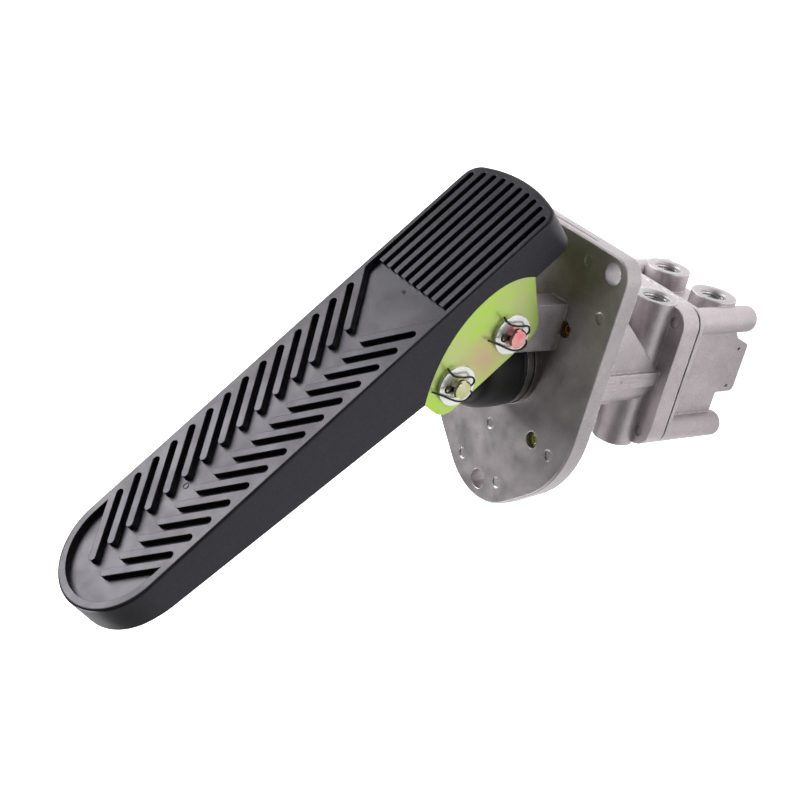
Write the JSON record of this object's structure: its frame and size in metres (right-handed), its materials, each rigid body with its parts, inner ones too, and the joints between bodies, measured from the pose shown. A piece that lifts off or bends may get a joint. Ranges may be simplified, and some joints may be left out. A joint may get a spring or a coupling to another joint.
{
  "type": "foot brake valve",
  "caption": "Foot brake valve: a long ribbed treadle on a pinned bracket turns in the lugs of a mounting plate and presses the plunger of a stacked valve body with threaded ports.",
  "frame": {"origin": "on the valve's axis, at the mounting plate's pedal-side face", "axes": "+Z along the valve's axis towards the pedal, +X towards the pedal's toe, +Y across, parallel to the pedal's pins"},
  "size_m": [0.2151, 0.1214, 0.3709],
  "materials": {
    "cast_aluminium": "rough cast",
    "machined_aluminium": "turned",
    "passivated_steel": "yellow-green passivated zinc",
    "zinc_steel": "bright zinc",
    "pin_steel": "zinc, faintly pink",
    "spring_steel": "dark",
    "bronze": "plain",
    "tread_plastic": "moulded, light sheen",
    "boot_rubber": "matt",
    "seal_rubber": "matt"
  },
  "bodies": {
    "base": {"mounting_plate": "cast_aluminium", "lug_bushes": "bronze", "plate_screws": "passivated_steel", "guide_collar": "machined_aluminium", "boot": "boot_rubber", "upper_body": "cast_aluminium", "body_gasket": "seal_rubber", "lower_body": "cast_aluminium", "body_screws": "zinc_steel", "primary_valve_guide": "machined_aluminium", "exhaust_guide": "machined_aluminium", "retaining_ring": "spring_steel", "primary_spring": "spring_steel", "primary_valve_spring": "spring_steel", "relay_spring": "spring_steel", "relay_valve_spring": "spring_steel"},
    "pedal": {"pedal_tread": "tread_plastic", "pedal_bracket": "passivated_steel", "bracket_screws": "zinc_steel", "pivot_pin": "pin_steel", "roller_pin": "pin_steel", "pin_washers": "zinc_steel", "split_pins": "spring_steel", "roller_spacers": "pin_steel"},
    "roller": {"roller": "pin_steel"},
    "plunger": {"plunger": "machined_aluminium", "graduating_spring": "boot_rubber"},
    "primary_piston": {"primary_piston": "machined_aluminium", "primary_seal": "seal_rubber"},
    "primary_valve": {"primary_valve": "bronze"},
    "relay_piston": {"relay_piston": "machined_aluminium", "relay_seal": "seal_rubber"},
    "relay_valve": {"relay_valve": "bronze"}
  },
  "joints": [
    {"name": "pedal_hinge", "type": "hinge", "parent": "base", "child": "pedal", "pos_m": [-0.0314, 0, 0.0353], "axis": [0, 1, 0], "range_deg": [0, 18], "stiffness_Nm_per_rad": 15, "springref_deg": -5.73},
    {"name": "roller_spin", "type": "hinge", "parent": "pedal", "child": "roller", "pos_m": [-0.00596, 0, 0.06119], "axis": [0, 1, 0], "continuous": true},
    {"name": "plunger_slide", "type": "slide", "parent": "base", "child": "plunger", "axis": [0, 0, -1], "range_m": [0, 0.0092], "deforming": ["boot", "graduating_spring"]},
    {"name": "primary_piston_slide", "type": "slide", "parent": "base", "child": "primary_piston", "axis": [0, 0, -1], "range_m": [0, 0.0041], "deforming": ["primary_spring"]},
    {"name": "primary_valve_slide", "type": "slide", "parent": "base", "child": "primary_valve", "axis": [0, 0, -1], "range_m": [0, 0.003], "deforming": ["primary_valve_spring"]},
    {"name": "relay_piston_slide", "type": "slide", "parent": "base", "child": "relay_piston", "axis": [0, 0, -1], "range_m": [0, 0.0023], "deforming": ["relay_spring"]},
    {"name": "relay_valve_slide", "type": "slide", "parent": "base", "child": "relay_valve", "axis": [0, 0, -1], "range_m": [0, 0.0015], "deforming": ["relay_valve_spring"]}
  ],
  "couplings": [
    {"joint": "plunger_slide", "follows": "pedal_hinge", "m_per_rad": 0.02906},
    {"joint": "primary_piston_slide", "follows": "pedal_hinge", "m_per_rad": 0.012732},
    {"joint": "primary_valve_slide", "follows": "pedal_hinge", "m_per_rad": 0.009231},
    {"joint": "relay_piston_slide", "follows": "pedal_hinge", "m_per_rad": 0.007},
    {"joint": "relay_valve_slide", "follows": "pedal_hinge", "m_per_rad": 0.004456}
  ]
}
